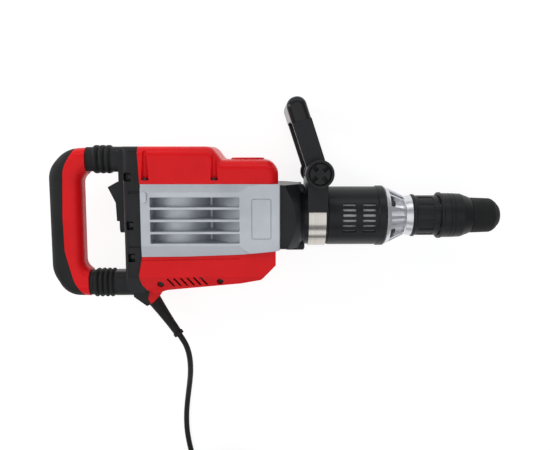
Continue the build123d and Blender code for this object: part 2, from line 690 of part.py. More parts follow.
first_pinion = gear(MOTOR_X, FIRST_MODULE, FIRST_PINION_TEETH, 0, 56, 66.5)
first_gear = gear(INTERMEDIATE_X, FIRST_MODULE, FIRST_GEAR_TEETH, 180 + 180 / FIRST_GEAR_TEETH, 57, 65)
second_pinion = gear(INTERMEDIATE_X, SECOND_MODULE, SECOND_PINION_TEETH, 0, 43, 55.5)
second_gear = gear(CRANK_X, SECOND_MODULE, SECOND_GEAR_TEETH, 180 + 180 / SECOND_GEAR_TEETH, 43.5, 54)

# Motor: stator, armature, commutator, brushes and fan
STATOR_R = 40.0
ARMATURE_R = 26.0
CORE_LOW = -42.0
CORE_HIGH = 4.0
SHAFT_R = 5.0
BORE_GAP = 0.7

with BuildPart() as stator_core:
    turned_upright(MOTOR_X, ring_points(0, STATOR_R, CORE_LOW, CORE_HIGH))
    turned_upright(MOTOR_X, ring_points(0, ARMATURE_R + BORE_GAP, CORE_LOW, CORE_HIGH), Mode.SUBTRACT)
    with BuildSketch(upright(MOTOR_X, CORE_LOW)) as winding_slots:
        Circle(34)
        Circle(ARMATURE_R + 3, mode=Mode.SUBTRACT)
        Rectangle(80, 30, mode=Mode.INTERSECT)
        Rectangle(46, 80, mode=Mode.SUBTRACT)
    extrude(winding_slots.sketch, amount=CORE_HIGH - CORE_LOW, mode=Mode.SUBTRACT)
stator_core.part.label = "stator_core"
export_step(stator_core.part, "parts/stator_core.step")

with BuildPart() as field_windings:
    with BuildSketch(upright(MOTOR_X, CORE_LOW)) as winding_legs:
        Circle(33.6)
        Circle(ARMATURE_R + 3.4, mode=Mode.SUBTRACT)
        Rectangle(80, 29, mode=Mode.INTERSECT)
        Rectangle(46.8, 80, mode=Mode.SUBTRACT)
        Rectangle(80, 0.8, mode=Mode.SUBTRACT)
    extrude(winding_legs.sketch, amount=CORE_HIGH - CORE_LOW)
    for low in (CORE_LOW - 9, CORE_HIGH):
        with BuildSketch(upright(MOTOR_X, low)) as winding_ends:
            Circle(35.5)
            Circle(ARMATURE_R + 2.4, mode=Mode.SUBTRACT)
            Rectangle(80, 0.8, mode=Mode.SUBTRACT)
        extrude(winding_ends.sketch, amount=9)
field_windings.part.label = "field_windings"
export_step(field_windings.part, "parts/field_windings.step")

with BuildPart() as armature_core:
    with BuildSketch(upright(MOTOR_X, CORE_LOW)) as laminations:
        Circle(ARMATURE_R)
        Circle(SHAFT_R, mode=Mode.SUBTRACT)
        with PolarLocations(ARMATURE_R - 3, 16):
            Rectangle(8, 2.2, mode=Mode.SUBTRACT)
    extrude(laminations.sketch, amount=CORE_HIGH - CORE_LOW)
armature_core.part.label = "armature_core"
export_step(armature_core.part, "parts/armature_core.step")

with BuildPart() as armature_windings:
    turned_upright(MOTOR_X, [(SHAFT_R, 4), (22, 4), (22, 8), (15, 13), (SHAFT_R, 13)])
    turned_upright(MOTOR_X, [(SHAFT_R, -42), (22, -42), (22, -47), (15, -54), (SHAFT_R, -54)])
armature_windings.part.label = "armature_windings"
export_step(armature_windings.part, "parts/armature_windings.step")

COMMUTATOR_R = 15.5

with BuildPart() as commutator:
    turned_upright(MOTOR_X, ring_points(SHAFT_R, COMMUTATOR_R, -74, -56))
    with BuildSketch(upright(MOTOR_X, -74)) as segment_gaps:
        with PolarLocations(COMMUTATOR_R, 24):
            Rectangle(2.0, 0.6)
    extrude(segment_gaps.sketch, amount=17, mode=Mode.SUBTRACT)
commutator.part.label = "commutator"
export_step(commutator.part, "parts/commutator.step")

FAN_R = 36.0
FAN_BLADES = 11

with BuildPart() as cooling_fan:
    turned_upright(MOTOR_X, ring_points(SHAFT_R, 9, 15, 28.5))
    turned_upright(MOTOR_X, ring_points(SHAFT_R, FAN_R, 16, 17.6))
    with BuildSketch(upright(MOTOR_X, 17.6)) as blades:
        with PolarLocations(22, FAN_BLADES):
            Rectangle(27, 1.6, rotation=24)
        Circle(FAN_R, mode=Mode.INTERSECT)
    extrude(blades.sketch, amount=9.5)
cooling_fan.part.label = "cooling_fan"
export_step(cooling_fan.part, "parts/cooling_fan.step")

with BuildPart() as armature_shaft:
    add(first_pinion)
    turned_upright(
        MOTOR_X,
        [
            (0, -82.8), (3.95, -82.8), (3.95, -74.6), (SHAFT_R, -74.6), (SHAFT_R, 30.5), (5.95, 30.5),
            (5.95, 42), (SHAFT_R, 42), (SHAFT_R, 57), (0, 57),
        ],
    )
armature_shaft.part.label = "armature_shaft"
export_step(armature_shaft.part, "parts/armature_shaft.step")

with BuildPart() as carbon_brushes:
    for z in (-25.8, 25.8):
        with Locations((MOTOR_X, -66, z)):
            Box(6.3, 12.5, 20)
carbon_brushes.part.label = "carbon_brushes"
export_step(carbon_brushes.part, "parts/carbon_brushes.step")

with BuildPart() as brush_holders:
    for z in (-31.5, 31.5):
        with Locations((MOTOR_X, -66, z)):
            Box(8.8, 14.8, 24)
            Box(6.4, 12.6, 24, mode=Mode.SUBTRACT)
    for z in (-44.2, 44.2):
        with Locations((MOTOR_X, -66, z)):
            Box(8.8, 14.8, 1.4)
brush_holders.part.label = "brush_holders"
export_step(brush_holders.part, "parts/brush_holders.step")

# Crank drive
CRANK_THROW = 16.0
ROD_LENGTH = 70.0
CRANK_SHAFT_R = 10.0
CRANK_PIN_X = CRANK_X - CRANK_THROW
WRIST_X = CRANK_PIN_X + ROD_LENGTH

with BuildPart() as intermediate_gear:
    add(first_gear)
    add(second_pinion)
    lower_points = [(0, 31), (3.95, 31), (3.95, 42), (6, 42)]
    turned_upright(INTERMEDIATE_X, lower_points + [(6, 66.5), (3.95, 66.5), (3.95, 71.5), (0, 71.5)])
intermediate_gear.part.label = "intermediate_gear"
export_step(intermediate_gear.part, "parts/intermediate_gear.step")

with BuildPart() as crank_gear:
    add(second_gear)
    turned_upright(CRANK_X, ring_points(0, CRANK_SHAFT_R, 40, 60), Mode.SUBTRACT)
    with BuildSketch(upright(CRANK_X, 43.5)) as web_holes:
        with PolarLocations(21, 6):
            Circle(5.5)
    extrude(web_holes.sketch, amount=11, mode=Mode.SUBTRACT)
crank_gear.part.label = "crank_gear"
export_step(crank_gear.part, "parts/crank_gear.step")

with BuildPart() as crankshaft:
    web_points = [(0, 16), (26, 16), (26, 26), (13, 26), (13, 30.6)]
    turned_upright(CRANK_X, web_points + [(CRANK_SHAFT_R, 30.6), (CRANK_SHAFT_R, 55), (0, 55)])
    with Locations(upright(CRANK_PIN_X, 16)):
        Cylinder(7.2, 6, align=ABOVE, mode=Mode.SUBTRACT)
    with BuildSketch(upright(CRANK_X, 16)) as relief:
        with Locations((-19, 21), (-19, -21)):
            Circle(9)
    extrude(relief.sketch, amount=10, mode=Mode.SUBTRACT)
crankshaft.part.label = "crankshaft"
export_step(crankshaft.part, "parts/crankshaft.step")

with BuildPart() as crank_pin:
    turned_upright(CRANK_PIN_X, ring_points(0, 6.95, -8, 15.5))
crank_pin.part.label = "crank_pin"
export_step(crank_pin.part, "parts/crank_pin.step")

with BuildPart() as connecting_rod:
    with BuildSketch(upright(0, -7)) as rod_side:
        with Locations((CRANK_PIN_X, 0)):
            Circle(13)
        with Locations((WRIST_X, 0)):
            Circle(9)
        Polygon((CRANK_PIN_X, 7), (WRIST_X, 5.5), (WRIST_X, -5.5), (CRANK_PIN_X, -7))
        with Locations((CRANK_PIN_X, 0)):
            Circle(7, mode=Mode.SUBTRACT)
        with Locations((WRIST_X, 0)):
            Circle(5 + RUNNING_GAP, mode=Mode.SUBTRACT)
    extrude(rod_side.sketch, amount=14)
connecting_rod.part.label = "connecting_rod"
export_step(connecting_rod.part, "parts/connecting_rod.step")

PISTON_R = 21.95
BORE_R = PISTON_R + RUNNING_GAP

with BuildPart() as piston:
    turned(tube_points(WRIST_X - 12, WRIST_X + 21, 0, PISTON_R))
    turned(tube_points(WRIST_X - 12, WRIST_X + 12, 0, 15.5), Mode.SUBTRACT)
    turned(tube_points(WRIST_X + 14, WRIST_X + 17, PISTON_R - 2, PISTON_R + 1), Mode.SUBTRACT)
    with Locations(upright(WRIST_X, 0)):
        Cylinder(5, 60, mode=Mode.SUBTRACT)
piston.part.label = "piston"
export_step(piston.part, "parts/piston.step")

with BuildPart() as wrist_pin:
    with Locations(upright(WRIST_X, 0)):
        Cylinder(4.98, 42)
        Cylinder(2.5, 42, mode=Mode.SUBTRACT)
wrist_pin.part.label = "wrist_pin"
export_step(wrist_pin.part, "parts/wrist_pin.step")

with BuildPart() as cylinder:
    turned(tube_points(-299, -165, BORE_R, CYLINDER_R))
    for x in (-222, -158):
        with Locations(Plane.XY * Pos(x, 0, 0)):
            Cylinder(2, 80, mode=Mode.SUBTRACT)
cylinder.part.label = "cylinder"
export_step(cylinder.part, "parts/cylinder.step")

with BuildPart() as striker:
    turned([(-216, 0), (-216, PISTON_R), (-178, PISTON_R), (-176, 15), (-162, 14), (-162, 0)])
striker.part.label = "striker"
export_step(striker.part, "parts/striker.step")

with BuildPart() as impact_bolt:
    turned([(-151, 0), (-151, 13), (-148, 15), (-112, 15), (-108, 11.5), (-98, 11.5), (-98, 0)])
impact_bolt.part.label = "impact_bolt"
export_step(impact_bolt.part, "parts/impact_bolt.step")

# Bearings and the plates that carry them
BEARINGS = [
    (MOTOR_X, PLATE_LOW, 10, 6, 16),
    (MOTOR_X, -82.5, 7, 4, 11),
    (INTERMEDIATE_X, PLATE_LOW, 8, 4, 11),
    (INTERMEDIATE_X, 66.7, 4, 4, 8),
    (CRANK_X, PLATE_LOW, 10, CRANK_SHAFT_R, 21),
]
POSTS = [(-436, 40), (-436, -40), (-352, 41.5), (-352, -41.5)]

with BuildPart() as ball_bearings:
    for x, low, width, inner, outer in BEARINGS:
        bore = inner + RUNNING_GAP
        middle = (inner + outer) / 2
        ball_r = (outer - inner) * 0.27
        race = (outer - inner) * 0.22
        turned_upright(x, ring_points(bore, inner + race, low, low + width))
        turned_upright(x, ring_points(outer - race, outer, low, low + width))
        with Locations(upright(x, low + width / 2)):
            with PolarLocations(middle, 8):
                Sphere(min(ball_r, width * 0.46) * 0.86)
            Cylinder(middle + 0.4, 1.0)
            Cylinder(middle - 0.4, 1.0, mode=Mode.SUBTRACT)
ball_bearings.part.label = "ball_bearings"
export_step(ball_bearings.part, "parts/ball_bearings.step")

with BuildPart() as bearing_plate:
    with BuildSketch(upright((HOUSING_REAR + HOUSING_FRONT) / 2, PLATE_LOW)) as plate:
        RectangleRounded(163, 104, 6)
    extrude(plate.sketch, amount=PLATE_HIGH - PLATE_LOW)
    for x, low, width, inner, outer in BEARINGS:
        if low == PLATE_LOW:
            turned_upright(x, ring_points(0, outer, PLATE_LOW - 1, PLATE_LOW + width), Mode.SUBTRACT)
            turned_upright(x, ring_points(0, outer - 3, PLATE_LOW, PLATE_HIGH + 1), Mode.SUBTRACT)
    for x, z in POSTS:
        with Locations(upright(x, PLATE_HIGH, z)):
            Cylinder(4, 26, align=ABOVE)
bearing_plate.part.label = "bearing_plate"
export_step(bearing_plate.part, "parts/bearing_plate.step")

with BuildPart() as gear_cover:
    with BuildSketch(upright(-394, 67)) as lid:
        RectangleRounded(96, 92, 8)
    extrude(lid.sketch, amount=3.5)
    turned_upright(INTERMEDIATE_X, ring_points(0, 8, 60, 75), Mode.SUBTRACT)
gear_cover.part.label = "gear_cover"
export_step(gear_cover.part, "parts/gear_cover.step")

# Gearbox collar: the black casting that narrows from the square housing to the round barrel
SLEEVE_R = 34.0
BOLT_SHANK_R = 2.6
COLLAR_LUGS = [(sign_y * 37, sign_z * 27) for sign_y in (1, -1) for sign_z in (1, -1)]

with BuildPart() as gearbox_collar:
    bar([(-37.5, -56), (43.5, -56), (43.5, 56), (-37.5, 56)], HOUSING_FRONT, -262, rounding=4)
    turned(
        [
            (HOUSING_FRONT, 0), (HOUSING_FRONT, 78), (-289, 71), (-268.5, 50.5), (-264, 42), (-262, 41),
            (-262, 0),
        ],
        Mode.INTERSECT,
    )
    turned(tube_points(-263, -231.5, 0, NECK_R))
    for y, z in COLLAR_LUGS:
        with Locations(Plane.YZ.offset(-285) * Pos(y, z)):
            Cylinder(6.4, 22, align=ABOVE)
    bar([(-41.5, -60), (43.5, -60), (43.5, 60), (-41.5, 60)], HOUSING_FRONT, -231, Mode.INTERSECT)
    turned(tube_points(-295, -230, 0, SLEEVE_R + RUNNING_GAP), Mode.SUBTRACT)
    for y, z in COLLAR_LUGS:
        with Locations(Plane.YZ.offset(-267) * Pos(y, z)):
            Cylinder(4.6, 10, align=ABOVE, mode=Mode.SUBTRACT)
            Cylinder(BOLT_SHANK_R, 12, mode=Mode.SUBTRACT)
gearbox_collar.part.label = "gearbox_collar"
export_step(gearbox_collar.part, "parts/gearbox_collar.step")

NOSE_REAR = -155.3
HOLDER_R = 18.5
HOLDER_BORE_R = HOLDER_R + RUNNING_GAP

with BuildPart() as barrel_housing:
    turned(tube_points(HOUSING_FRONT + 0.5, NOSE_REAR, CYLINDER_R, SLEEVE_R))
    turned(tube_points(-165, NOSE_REAR, HOLDER_BORE_R, CYLINDER_R + 1))
barrel_housing.part.label = "barrel_housing"
export_step(barrel_housing.part, "parts/barrel_housing.step")

# Barrel cover: a black sleeve with two columns of air slots on each side
RIM_R = 40.0
COVER_COLUMNS = [(-212.8, -195.0), (-187.0, -169.8)]
COVER_SLOT_ANGLES = [-26.5, -15.9, -5.3, 5.3, 15.9, 26.5]

with BuildPart() as barrel_cover:
    turned(
        [
            (-231, SLEEVE_R + 1.6), (-231, BARREL_R - 0.8), (-230.2, BARREL_R), (-166.5, BARREL_R),
            (-165, RIM_R), (-157, RIM_R), (-155.5, BARREL_R + 0.2), (-155.5, SLEEVE_R + 1.6),
        ]
    )
    for rear, front in COVER_COLUMNS:
        with BuildSketch(Plane.XY.offset(20)) as slots:
            with Locations(((rear + front) / 2, 0)):
                SlotOverall(front - rear, 3.1)
        slot = extrude(slots.sketch, amount=40, mode=Mode.PRIVATE)
        for angle in COVER_SLOT_ANGLES:
            add(Rot(angle, 0, 0) * slot, mode=Mode.SUBTRACT)
            add(Rot(angle + 180, 0, 0) * slot, mode=Mode.SUBTRACT)
barrel_cover.part.label = "barrel_cover"
export_step(barrel_cover.part, "parts/barrel_cover.step")

# Nose cone: a bright casting with ribs between its pockets, bolted to the barrel in four of them
CONE_CORE_R = 22.0
CONE_POCKETS = [(9.5, 13), (28, 13), (52, 27), (80.5, 13)]
BOLT_CIRCLE_R = 27.5
NOSE_BOLT_ANGLES = [52, 128, 232, 308]

with BuildPart() as nose_cone:
    turned(
        [
            (NOSE_REAR, HOLDER_BORE_R), (NOSE_REAR, 37.6), (-154.4, 38.3), (-151.5, 37.4), (-127.5, 25.4),
            (-124.5, 26.2), (-119, 27.2), (-118.4, 26.6), (-118.4, HOLDER_BORE_R),
        ]
    )
    for middle, width in CONE_POCKETS:
        for centre in (middle, 180 - middle, 180 + middle, 360 - middle):
            with BuildSketch(Plane.XY.rotated((centre - width / 2, 0, 0))) as pocket:
                Polygon((-149.5, CONE_CORE_R), (-129.5, CONE_CORE_R), (-129.5, 28), (-149.5, 42))
            revolve(pocket.sketch, axis=Axis.X, revolution_arc=width, mode=Mode.SUBTRACT)
    for angle in NOSE_BOLT_ANGLES:
        with Locations(Rot(angle, 0, 0) * Pos(-152, BOLT_CIRCLE_R, 0) * Rot(0, 90, 0)):
            Cylinder(BOLT_SHANK_R, 10, mode=Mode.SUBTRACT)
nose_cone.part.label = "nose_cone"
export_step(nose_cone.part, "parts/nose_cone.step")

with BuildPart() as barrel_bolts:
    cap_bolt = screw(4.3, 5.6, BOLT_SHANK_R - 0.05, 5.6, 2.4)
    nose_bolt = screw(4.9, 7.0, BOLT_SHANK_R - 0.05, 5.6, 2.6)
    for angle in NOSE_BOLT_ANGLES:
        add(Rot(angle, 0, 0) * Pos(-149.5, BOLT_CIRCLE_R, 0) * Rot(0, 90, 0) * nose_bolt)
    for y, z in COLLAR_LUGS:
        add(Pos(-267, y, z) * Rot(0, 90, 0) * cap_bolt)
barrel_bolts.part.label = "barrel_bolts"
export_step(barrel_bolts.part, "parts/barrel_bolts.step")

# Chisel holder: it turns in the barrel with its indexing ring, and the locking sleeve slides on it
HOLDER_REAR = -164.5
LIP_X = -8.0
RING_PANELS = 12

with BuildPart() as tool_holder:
    turned(
        [
            (HOLDER_REAR, 15.05), (HOLDER_REAR, HOLDER_R), (-118, HOLDER_R), (-118, 19), (-56, 19),
            (-54, 16), (LIP_X, 16), (LIP_X, CHISEL_R), (-CHISEL_DEPTH, CHISEL_R), (-93, 11.8),
            (-101.5, 11.8), (-105.5, 15.05),
        ]
    )
    for side in (1, -1):
        with Locations((-61, 0, side * 15)):
            Box(18, 7, 9, mode=Mode.SUBTRACT)
tool_holder.part.label = "tool_holder"
export_step(tool_holder.part, "parts/tool_holder.step")

with BuildPart() as indexing_ring:
    turned(
        [
            (-118, 19.05), (-118, 27.2), (-117, 28.3), (-114.5, 28.3), (-113, 26.7), (-82.5, 26.7),
            (-82.5, 19.05),
        ]
    )
    for index in range(RING_PANELS):
        with BuildSketch(Plane.XY.rotated((360 / RING_PANELS * index - 10, 0, 0))) as panel:
            Polygon((-110.5, 25.8), (-91, 25.8), (-91, 30), (-110.5, 30))
        revolve(panel.sketch, axis=Axis.X, revolution_arc=20, mode=Mode.SUBTRACT)
indexing_ring.part.label = "indexing_ring"
export_step(indexing_ring.part, "parts/indexing_ring.step")

with BuildPart() as locking_sleeve:
    turned(
        [
            (-82, 27.3), (-82, 30.2), (-81.2, 30.9), (-78.8, 30.9), (-77.6, 29.7), (-69.8, 29.6),
            (-69.3, 28.9), (-68.3, 28.9), (-67.8, 29.6), (-64.8, 29.5), (-64.3, 28.8), (-63.3, 28.8),
            (-62.8, 29.5), (-52, 29.0), (-40.5, 24.6), (-39.3, 23.9), (-39.3, 19.6), (-50, 19.6),
            (-50, 26.3), (-52, 27.3),
        ]
    )
locking_sleeve.part.label = "locking_sleeve"
export_step(locking_sleeve.part, "parts/locking_sleeve.step")

with BuildPart() as sleeve_spring:
    add(coil_spring(-82.4, -50.2, 22.6, 1.0, 5))
sleeve_spring.part.label = "sleeve_spring"
export_step(sleeve_spring.part, "parts/sleeve_spring.step")

with BuildPart() as dust_cap:
    turned(
        [
            (-39, 16), (-39, 22.6), (-38.4, 23.4), (-36, 23.6), (-12.2, 22.7), (-11.6, 22.0),
            (-9.6, 21.8), (-5.0, 18.4), (-4.5, 17.3), (-1.4, 14.4), (0, 12.2), (0, CHISEL_R),
            (LIP_X, CHISEL_R), (LIP_X, 16),
        ]
    )
dust_cap.part.label = "dust_cap"
export_step(dust_cap.part, "parts/dust_cap.step")

# Side handle: a clamp round the barrel's neck, a tilting frame with a grip, and a clamping knob
CLAMP_R = NECK_R + BODY_GAP
CLAMP_REAR = -258.5
CLAMP_FRONT = -232.5
SADDLE_HALF = 45.7
SADDLE_LOW = 9.0
ARM_INNER = SADDLE_HALF + BODY_GAP
ARM_OUTER = 57.5
BOLT_R = 5.0

arm_frame = Plane(
    origin=(PIVOT_X, PIVOT_Y, 0),
    x_dir=(math.cos(math.radians(ARM_TILT)), math.sin(math.radians(ARM_TILT)), 0),
    z_dir=(0, 0, 1),
)

with BuildPart() as clamp_saddle:
    bar(
        mirrored([(SADDLE_LOW, SADDLE_HALF), (66, SADDLE_HALF), (70, SADDLE_HALF - 4)]),
        CLAMP_REAR,
        CLAMP_FRONT,
    )
    with BuildSketch(Plane.XY.offset(-60)) as saddle_side:
        with Locations((PIVOT_X, PIVOT_Y)):
            Circle(13)
        Polygon((CLAMP_REAR, 0), (CLAMP_FRONT, 0), (CLAMP_FRONT, PIVOT_Y), (CLAMP_REAR, PIVOT_Y))
    extrude(saddle_side.sketch, amount=120, mode=Mode.INTERSECT)
    turned(tube_points(CLAMP_REAR - 1, CLAMP_FRONT + 1, 0, CLAMP_R), Mode.SUBTRACT)
    with Locations((PIVOT_X, PIVOT_Y, 0)):
        Cylinder(BOLT_R, 120, mode=Mode.SUBTRACT)
        Box(40, 12, 52, mode=Mode.SUBTRACT)
clamp_saddle.part.label = "clamp_saddle"
export_step(clamp_saddle.part, "parts/clamp_saddle.step")

with BuildPart() as clamp_band:
    turned(tube_points(CLAMP_REAR + 2, CLAMP_FRONT - 1.5, CLAMP_R, CLAMP_R + 1.8))
    bar([(SADDLE_LOW, -60), (80, -60), (80, 60), (SADDLE_LOW, 60)], -262, -230, Mode.SUBTRACT)
clamp_band.part.label = "clamp_band"
export_step(clamp_band.part, "parts/clamp_band.step")

with BuildPart() as clamp_bolt:
    with Locations((PIVOT_X, PIVOT_Y, -53.3)):
        Cylinder(BOLT_R - 0.02, 116.6, align=ABOVE)
    with BuildSketch(Plane.XY.offset(-57.3)) as bolt_head:
        with Locations((PIVOT_X, PIVOT_Y)):
            RegularPolygon(8, 6)
    extrude(bolt_head.sketch, amount=4)
clamp_bolt.part.label = "clamp_bolt"
export_step(clamp_bolt.part, "parts/clamp_bolt.step")


def arm_prism(points, low, high, rounding=0.0):
    """An outline in the tilted arm's own x and y, extruded between two heights."""
    with BuildPart() as part:
        prism(points, low, high, rounding=rounding)
    return arm_frame * part.part


with BuildPart() as side_handle_frame:
    for side in (1, -1):
        low, high = sorted((side * ARM_INNER, side * ARM_OUTER))
        add(arm_prism([(-12.5, 0), (12, 0), (12, 68.5), (-12.5, 69.5)], low, high))
        with Locations((PIVOT_X, PIVOT_Y, (low + high) / 2)):
            Cylinder(17.0, high - low)
    add(arm_prism([(-6, 78), (6, 78), (6, 90), (-6, 90)], -47, 47, rounding=3))
    for side in (1, -1):
        low, high = sorted((side * ARM_INNER, side * 52))
        add(arm_prism([(-8, 60), (8, 60), (8, 90), (-8, 90)], low, high, rounding=3))
    with Locations((PIVOT_X, PIVOT_Y, 0)):
        Cylinder(BOLT_R + BODY_GAP, 130, mode=Mode.SUBTRACT)
    with Locations((PIVOT_X, PIVOT_Y, -ARM_OUTER)):
        Cylinder(10, 9.0, mode=Mode.SUBTRACT)
side_handle_frame.part.label = "side_handle_frame"
export_step(side_handle_frame.part, "parts/side_handle_frame.step")

with BuildPart() as grip_blank:
    prism([(-13.2, 69.6), (12, 68.6), (12, 99.5), (-13.2, 99.5)], -ARM_OUTER, ARM_OUTER)
    fillet(grip_blank.edges().filter_by(Axis.Z).sort_by(Axis.Y)[-2:], 12.0)
    bar([(60, -38), (72.5, -38), (72.5, 38), (60, 38)], -20, 20, Mode.SUBTRACT, 3)
    fillet(grip_blank.faces().sort_by(Axis.Z)[-1].edges().sort_by(Axis.Y)[1:], 8.0)
    fillet(grip_blank.faces().sort_by(Axis.Z)[0].edges().sort_by(Axis.Y)[1:], 8.0)

with BuildPart() as side_handle_grip:
    add(arm_frame * grip_blank.part)
    add(side_handle_frame.part, mode=Mode.SUBTRACT)
side_handle_grip.part.label = "side_handle_grip"
export_step(side_handle_grip.part, "parts/side_handle_grip.step")

KNOB_LOW = ARM_OUTER + BODY_GAP
KNOB_HIGH = 73.0
KNOB_R = 17.5

with BuildPart() as clamp_knob:
    with Locations((PIVOT_X, PIVOT_Y, KNOB_LOW)):
        Cylinder(KNOB_R, KNOB_HIGH - KNOB_LOW, align=ABOVE)
    chamfer(clamp_knob.faces().sort_by(Axis.Z)[-1].edges(), 1.2)
    with Locations((PIVOT_X, PIVOT_Y, KNOB_HIGH)):
        Cylinder(14.2, 16, mode=Mode.SUBTRACT)
    with BuildSketch(Plane.XY.offset(KNOB_HIGH - 8)) as petals:
        with Locations((PIVOT_X, PIVOT_Y)):
            Circle(12.6)
            for turn in (42, 132):
                Rectangle(40, 4.8, rotation=turn, mode=Mode.SUBTRACT)
            Circle(5.6)
    extrude(petals.sketch, amount=6.8)
    with Locations((PIVOT_X, PIVOT_Y, KNOB_LOW)):
        Cylinder(BOLT_R + BODY_GAP, 12, mode=Mode.SUBTRACT)
clamp_knob.part.label = "clamp_knob"
export_step(clamp_knob.part, "parts/clamp_knob.step")

# Mains cord: a free stretch down to the floor, a coil, and a short stretch to the plug
CORD_Z = FLOOR_Z + CORD_R
COIL_X = -362.0
COIL_Y = -424.0
COIL_MID_R = 47.0
COIL_HALF_WIDTH = 13.0
COIL_HEIGHT = 32.0
CORD_ROUTE = [
    (-430.3, -163.6, 0),
    (-423.3, -174.0, 0),
    (-418.9, -186.8, -2.2),
    (-417.3, -201.7, -8),
    (-417.9, -219.7, -18),
    (-420.5, -239, -30.5),
    (-424, -259, -42),
    (-427.5, -280, -51),
    (-430, -302, -55.6),
    (-430, -326, -56.1),
    (-426.5, -350, -56.1),
    (-421, -373, -56.1),
    (-417.4, -394, -56.1),
    (-416.8, -411, -56.1),
]
PLUG_ROUTE = [
    (-373, -477, -33),
    (-356, -481.5, -35.5),
    (-338, -485, -43),
    (-321, -486, -52),
    (-304, -485, -56.1),
    (-287, -482, -53),
    (-271, -480, -47.8),
    (-256, -480, -47),
]


def cord_radii(route):
    """The radius of each corner: 0.45 of the shorter run over the tangent of half the turn."""
    points = [Vector(*point) for point in route]
    radii = []
    for before, at, after in zip(points, points[1:], points[2:]):
        turn = math.radians((at - before).get_angle(after - at))
        shorter = min((at - before).length, (after - at).length)
        radii.append(0.45 * shorter / math.tan(turn / 2))
    return radii


def cord_tube(route):
    """A cord's solid along a route of straight runs and tangent arcs."""
    with BuildLine() as path:
        FilletPolyline(*route, radius=cord_radii(route))
    wire = path.wire()
    with BuildPart() as part:
        with BuildSketch(Plane(origin=wire @ 0, z_dir=wire % 0)):
            Circle(CORD_R)
        sweep(path=wire)
    filled = part.part.volume / (math.pi * CORD_R**2 * wire.length)
    print("cord radii", [round(radius) for radius in cord_radii(route)])
    print("cord volume over section times length", round(filled, 4), "length", round(wire.length, 1))
    return part.part


with BuildPart() as cord:
    add(cord_tube(CORD_ROUTE))
    add(cord_tube(PLUG_ROUTE))
cord.part.label = "cord"
export_step(cord.part, "parts/cord.step")

with BuildPart() as cord_coil:
    with BuildSketch(Plane.XZ.offset(-COIL_Y)):
        with Locations((COIL_X + COIL_MID_R, FLOOR_Z + COIL_HEIGHT / 2)):
            RectangleRounded(2 * COIL_HALF_WIDTH, COIL_HEIGHT, 7)
    revolve(axis=Axis((COIL_X, COIL_Y, 0), (0, 0, 1)))
cord_coil.part.label = "cord_coil"
export_step(cord_coil.part, "parts/cord_coil.step")

TIE_WALL = 1.0

with BuildPart() as cord_tie:
    with BuildSketch(Plane.XZ.offset(-COIL_Y + 5)) as tie_loop:
        with Locations((COIL_X - COIL_MID_R, FLOOR_Z + (COIL_HEIGHT + TIE_WALL) / 2)):
            RectangleRounded(2 * (COIL_HALF_WIDTH + TIE_WALL), COIL_HEIGHT + TIE_WALL, 7.5)
            RectangleRounded(2 * COIL_HALF_WIDTH, COIL_HEIGHT - TIE_WALL, 7, mode=Mode.SUBTRACT)
    extrude(tie_loop.sketch, amount=-10)
cord_tie.part.label = "cord_tie"
export_step(cord_tie.part, "parts/cord_tie.step")

# Two-pin plug, lying beside the coil with its pins along +X
PLUG_REAR = -256.0
PLUG_FACE = -216.0
PLUG_Y = -480.0
PLUG_Z = -47.0
PLUG_PIN_R = 2.4
PLUG_PIN_LENGTH = 19.0
PLUG_PIN_SPACING = 19.0


def plug_section(x, width, height, corner):
    """A rounded rectangle across the plug's axis at x."""
    with BuildSketch(Plane(origin=(x, PLUG_Y, PLUG_Z), x_dir=(0, 1, 0), z_dir=(1, 0, 0))) as section:
        RectangleRounded(width, height, corner)
    return section.sketch


with BuildPart() as plug_body:
    extrude(plug_section(PLUG_REAR, 12.5, 12.5, 6.0), amount=14)
    loft([plug_section(PLUG_REAR + 13, 20, 17, 8.0), plug_section(PLUG_REAR + 25, 36, 26, 10.0)])
    extrude(plug_section(PLUG_REAR + 25, 36, 26, 10.0), amount=PLUG_FACE - PLUG_REAR - 25)
    fillet(plug_body.faces().sort_by(Axis.X)[-1].edges(), 1.5)
    for side in (1, -1):
        with Locations(Plane.YZ.offset(PLUG_FACE - 12) * Pos(PLUG_Y + side * PLUG_PIN_SPACING / 2, PLUG_Z)):
            Cylinder(PLUG_PIN_R, 20, align=ABOVE, mode=Mode.SUBTRACT)
    with Locations(Plane.YZ.offset(PLUG_REAR - 1) * Pos(PLUG_Y, PLUG_Z)):
        Cylinder(CORD_R, 1, align=ABOVE, mode=Mode.SUBTRACT)
plug_body.part.label = "plug_body"
export_step(plug_body.part, "parts/plug_body.step")

with BuildPart() as plug_pins:
    for side in (1, -1):
        with Locations(Plane.YZ.offset(PLUG_FACE - 12) * Pos(PLUG_Y + side * PLUG_PIN_SPACING / 2, PLUG_Z)):
            Cylinder(PLUG_PIN_R, PLUG_PIN_LENGTH + 12, align=ABOVE)
    chamfer(plug_pins.faces().sort_by(Axis.X)[-2:].edges(), 0.8)
plug_pins.part.label = "plug_pins"
export_step(plug_pins.part, "parts/plug_pins.step")
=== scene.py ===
"""Looks of an electric demolition hammer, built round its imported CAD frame. All lengths are in metres."""
import json
import math

import bpy
from mathutils import Matrix, Vector


